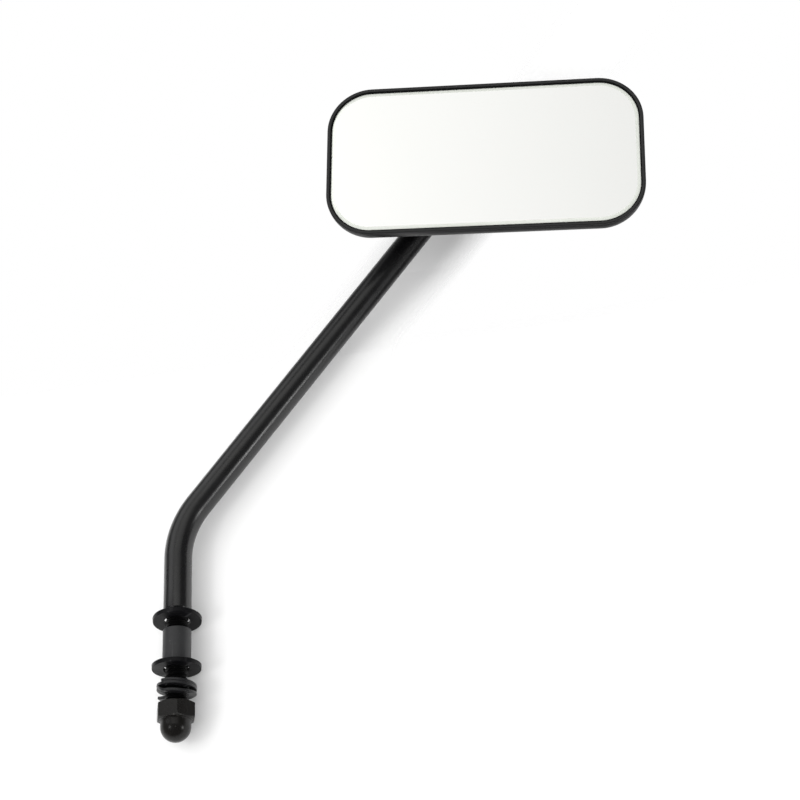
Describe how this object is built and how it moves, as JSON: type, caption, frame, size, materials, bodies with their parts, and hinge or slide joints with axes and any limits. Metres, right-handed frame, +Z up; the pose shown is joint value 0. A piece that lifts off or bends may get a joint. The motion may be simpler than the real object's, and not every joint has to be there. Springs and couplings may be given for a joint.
{
  "type": "motorcycle mirror",
  "caption": "Rectangular motorcycle mirror with a thin black rim, on a bent round stem that ends in a threaded stud with washers, a spacer sleeve and a domed nut.",
  "frame": {"origin": "middle of the spacer sleeve, on the threaded stud's axis", "axes": "+Z up the stud towards the rod, +X the way the stem leans, the mirror faces -Y"},
  "size_m": [0.1963, 0.0507, 0.2366],
  "materials": {
    "stem_black": "satin black powder coat",
    "fixing_black": "black zinc plate, slightly worn",
    "sleeve_grey": "matte dark grey phosphate",
    "nut_black": "satin black oxide",
    "housing_black": "satin black",
    "gasket_black": "matte",
    "mirror": "polished",
    "zinc_steel": "bright zinc plate",
    "nylon": "matte",
    "foam": "open foam"
  },
  "bodies": {
    "stem": {"stem": "stem_black", "spacer_sleeve": "sleeve_grey", "ball_stud": "zinc_steel", "split_washer": "zinc_steel", "stud_nut": "zinc_steel"},
    "upper_washer": {"upper_washer": "fixing_black"},
    "loose_fixings": {"lower_washer": "fixing_black", "lock_washer": "fixing_black"},
    "nut": {"acorn_nut": "nut_black"},
    "liner": {"ball_liner": "nylon"},
    "cup": {"friction_cup": "zinc_steel"},
    "head": {"housing": "housing_black", "glass_gasket": "gasket_black", "mirror_glass": "mirror", "foam_pad": "foam", "retainer_plate": "zinc_steel", "retainer_screws": "zinc_steel", "cup_spring": "zinc_steel"}
  },
  "joints": [
    {"name": "head_tilt", "type": "hinge", "parent": "stem", "child": "liner", "pos_m": [0.12586, -0.01498, 0.17154], "axis": [0.9927, 0.0927, -0.0771], "range_deg": [-12, 8]},
    {"name": "head_pan", "type": "hinge", "parent": "liner", "child": "cup", "pos_m": [0.12586, -0.01498, 0.17154], "axis": [0.0927, -0.1784, 0.9796], "range_deg": [-6, 12]},
    {"name": "head_roll", "type": "hinge", "parent": "cup", "child": "head", "pos_m": [0.12586, -0.01498, 0.17154], "axis": [0.0771, -0.9796, -0.1857], "range_deg": [-20, 12]},
    {"name": "upper_washer_slide", "type": "slide", "parent": "stem", "child": "upper_washer", "axis": [0, 0, 1], "range_m": [-0.0026, 0.001]},
    {"name": "nut_travel", "type": "slide", "parent": "stem", "child": "loose_fixings", "axis": [0, 0, -1], "range_m": [0, 0.0282]},
    {"name": "nut_turn", "type": "hinge", "parent": "loose_fixings", "child": "nut", "pos_m": [0, 0, -0.024], "axis": [0, 0, -1], "range_deg": [0, 7200]}
  ],
  "couplings": [
    {"joint": "nut_turn", "follows": "nut_travel", "rad_per_m": 4452.6}
  ]
}
